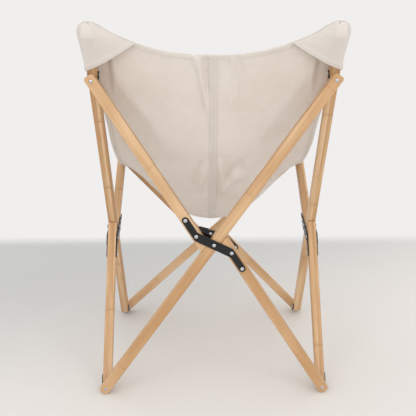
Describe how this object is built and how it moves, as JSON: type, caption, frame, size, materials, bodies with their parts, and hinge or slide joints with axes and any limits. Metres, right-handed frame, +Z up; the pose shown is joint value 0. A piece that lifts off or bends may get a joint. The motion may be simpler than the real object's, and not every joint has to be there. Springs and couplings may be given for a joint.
{
  "type": "folding sling lounge chair",
  "caption": "Folding lounge chair: canvas sling with corner pockets hung on crossed bamboo bars, joined by black steel plates, brackets and rivets.",
  "frame": {"origin": "centre of the bounding box at floor level", "axes": "+Z up, the sitter faces -Y, +X is the sitter's left"},
  "size_m": [0.5992, 0.7832, 0.9146],
  "materials": {
    "bamboo": "satin laminated bamboo",
    "black_steel": "satin black",
    "rivet_steel": "bright",
    "canvas": "off-white cotton canvas"
  },
  "bodies": {
    "base": {"rear_cross_pivot": "rivet_steel", "sling": "canvas", "left_rear_pocket": "canvas", "right_rear_pocket": "canvas", "left_front_pocket": "canvas", "right_front_pocket": "canvas"},
    "rear_cross_through": {"rear_cross_through_bar": "bamboo"},
    "rear_cross_halves": {"rear_cross_upper_bar": "bamboo", "rear_cross_lower_bar": "bamboo", "rear_cross_outer_plate": "black_steel", "rear_cross_inner_plate": "black_steel"},
    "left_rear_foot": {"left_rear_foot_bracket": "black_steel", "left_rear_foot_cross_rivet": "rivet_steel", "left_rear_foot_side_rivet": "rivet_steel"},
    "right_rear_foot": {"right_rear_foot_bracket": "black_steel", "right_rear_foot_cross_rivet": "rivet_steel", "right_rear_foot_side_rivet": "rivet_steel"},
    "left_rear_top": {"left_rear_top_bracket": "black_steel", "left_rear_top_cross_rivet": "rivet_steel", "left_rear_top_side_rivet_tail": "rivet_steel"},
    "right_rear_top": {"right_rear_top_bracket": "black_steel", "right_rear_top_cross_rivet": "rivet_steel", "right_rear_top_side_rivet_tail": "rivet_steel"},
    "left_side_halves": {"left_side_rear_bar": "bamboo", "left_side_front_bar": "bamboo", "left_side_outer_plate": "black_steel", "left_side_inner_plate": "black_steel", "left_side_pivot": "rivet_steel"},
    "left_side_through": {"left_side_through_bar": "bamboo", "left_rear_top_side_rivet": "rivet_steel"},
    "right_side_halves": {"right_side_rear_bar": "bamboo", "right_side_front_bar": "bamboo", "right_side_outer_plate": "black_steel", "right_side_inner_plate": "black_steel", "right_side_pivot": "rivet_steel"},
    "right_side_through": {"right_side_through_bar": "bamboo", "right_rear_top_side_rivet": "rivet_steel"},
    "left_front_top": {"left_front_top_bracket": "black_steel", "left_front_top_side_rivet": "rivet_steel", "left_front_top_cross_rivet_tail": "rivet_steel"},
    "right_front_top": {"right_front_top_bracket": "black_steel", "right_front_top_side_rivet": "rivet_steel", "right_front_top_cross_rivet": "rivet_steel"},
    "front_cross_through": {"front_cross_through_bar": "bamboo", "front_cross_pivot": "rivet_steel", "left_front_foot_cross_rivet": "rivet_steel"},
    "front_cross_halves": {"front_cross_upper_bar": "bamboo", "front_cross_lower_bar": "bamboo", "front_cross_outer_plate": "black_steel", "front_cross_inner_plate": "black_steel", "left_front_top_cross_rivet": "rivet_steel", "right_front_foot_cross_rivet": "rivet_steel"},
    "left_front_foot": {"left_front_foot_bracket": "black_steel", "left_front_foot_side_rivet": "rivet_steel", "left_front_foot_cross_rivet_tail": "rivet_steel"},
    "right_front_foot": {"right_front_foot_bracket": "black_steel", "right_front_foot_side_rivet": "rivet_steel", "right_front_foot_cross_rivet_tail": "rivet_steel"}
  },
  "joints": [
    {"name": "fold", "type": "hinge", "parent": "base", "child": "rear_cross_through", "pos_m": [0, 0.32128, 0.39901], "axis": [0, 0.9984, -0.0561], "range_deg": [0, 32.7], "deforming": ["sling", "left_rear_pocket", "right_rear_pocket", "left_front_pocket", "right_front_pocket"]},
    {"name": "rear_cross", "type": "hinge", "parent": "base", "child": "rear_cross_halves", "pos_m": [0, 0.32128, 0.39901], "axis": [0, 0.9984, -0.0561], "range_deg": [-32.71, 0]},
    {"name": "left_rear_foot", "type": "hinge", "parent": "rear_cross_through", "child": "left_rear_foot", "pos_m": [0.2704, 0.29976, 0.01579], "axis": [0, 0.9984, -0.0561], "range_deg": [-32.71, 0]},
    {"name": "right_rear_top", "type": "hinge", "parent": "rear_cross_through", "child": "right_rear_top", "pos_m": [-0.2704, 0.3428, 0.78222], "axis": [0, 0.9984, -0.0561], "range_deg": [-32.71, 0]},
    {"name": "right_rear_foot", "type": "hinge", "parent": "rear_cross_halves", "child": "right_rear_foot", "pos_m": [-0.2704, 0.29976, 0.01579], "axis": [0, 0.9984, -0.0561], "range_deg": [0, 32.71]},
    {"name": "left_rear_top", "type": "hinge", "parent": "rear_cross_halves", "child": "left_rear_top", "pos_m": [0.2704, 0.3428, 0.78222], "axis": [0, 0.9984, -0.0561], "range_deg": [0, 32.71]},
    {"name": "left_side", "type": "hinge", "parent": "left_rear_foot", "child": "left_side_halves", "pos_m": [0.2704, 0.26782, 0.0266], "axis": [-1, 0, 0], "range_deg": [0, 36.67]},
    {"name": "left_side_crossing", "type": "hinge", "parent": "left_side_halves", "child": "left_side_through", "pos_m": [0.2704, 0.01847, 0.35458], "axis": [1, 0, 0], "range_deg": [0, 65.78]},
    {"name": "left_front_top", "type": "hinge", "parent": "left_side_halves", "child": "left_front_top", "pos_m": [0.2704, -0.27599, 0.49908], "axis": [1, 0, 0], "range_deg": [0, 37.36]},
    {"name": "right_side", "type": "hinge", "parent": "right_rear_foot", "child": "right_side_halves", "pos_m": [-0.2704, 0.26782, 0.0266], "axis": [-1, 0, 0], "range_deg": [0, 36.67]},
    {"name": "right_side_crossing", "type": "hinge", "parent": "right_side_halves", "child": "right_side_through", "pos_m": [-0.2704, 0.01847, 0.35458], "axis": [1, 0, 0], "range_deg": [0, 65.78]},
    {"name": "right_front_top", "type": "hinge", "parent": "right_side_halves", "child": "right_front_top", "pos_m": [-0.2704, -0.27599, 0.49908], "axis": [1, 0, 0], "range_deg": [0, 37.36]},
    {"name": "front_cross_top", "type": "hinge", "parent": "right_front_top", "child": "front_cross_through", "pos_m": [-0.2704, -0.30649, 0.48405], "axis": [0, 0.9873, 0.1586], "range_deg": [0, 45.3]},
    {"name": "front_cross", "type": "hinge", "parent": "front_cross_through", "child": "front_cross_halves", "pos_m": [0, -0.26856, 0.2479], "axis": [0, 0.9873, 0.1586], "range_deg": [-90.6, 0]},
    {"name": "left_front_foot", "type": "hinge", "parent": "left_side_through", "child": "left_front_foot", "pos_m": [0.2704, -0.20013, 0.02678], "axis": [-1, 0, 0], "range_deg": [0, 28.43]},
    {"name": "right_front_foot", "type": "hinge", "parent": "right_side_through", "child": "right_front_foot", "pos_m": [-0.2704, -0.20013, 0.02678], "axis": [-1, 0, 0], "range_deg": [0, 28.43]}
  ],
  "couplings": [
    {"joint": "rear_cross", "follows": "fold", "ratio": -1},
    {"joint": "left_rear_foot", "follows": "fold", "ratio": -1},
    {"joint": "right_rear_top", "follows": "fold", "ratio": -1},
    {"joint": "right_rear_foot", "follows": "fold", "ratio": 1},
    {"joint": "left_rear_top", "follows": "fold", "ratio": 1},
    {"joint": "left_side", "follows": "fold", "ratio": 1.1212},
    {"joint": "left_side_crossing", "follows": "fold", "ratio": 2.0115},
    {"joint": "left_front_top", "follows": "fold", "ratio": 1.1423},
    {"joint": "right_side", "follows": "fold", "ratio": 1.1212},
    {"joint": "right_side_crossing", "follows": "fold", "ratio": 2.0115},
    {"joint": "right_front_top", "follows": "fold", "ratio": 1.1423},
    {"joint": "front_cross_top", "follows": "fold", "ratio": 1.3853},
    {"joint": "front_cross", "follows": "fold", "ratio": -2.7706},
    {"joint": "left_front_foot", "follows": "fold", "ratio": 0.8692},
    {"joint": "right_front_foot", "follows": "fold", "ratio": 0.8692}
  ]
}
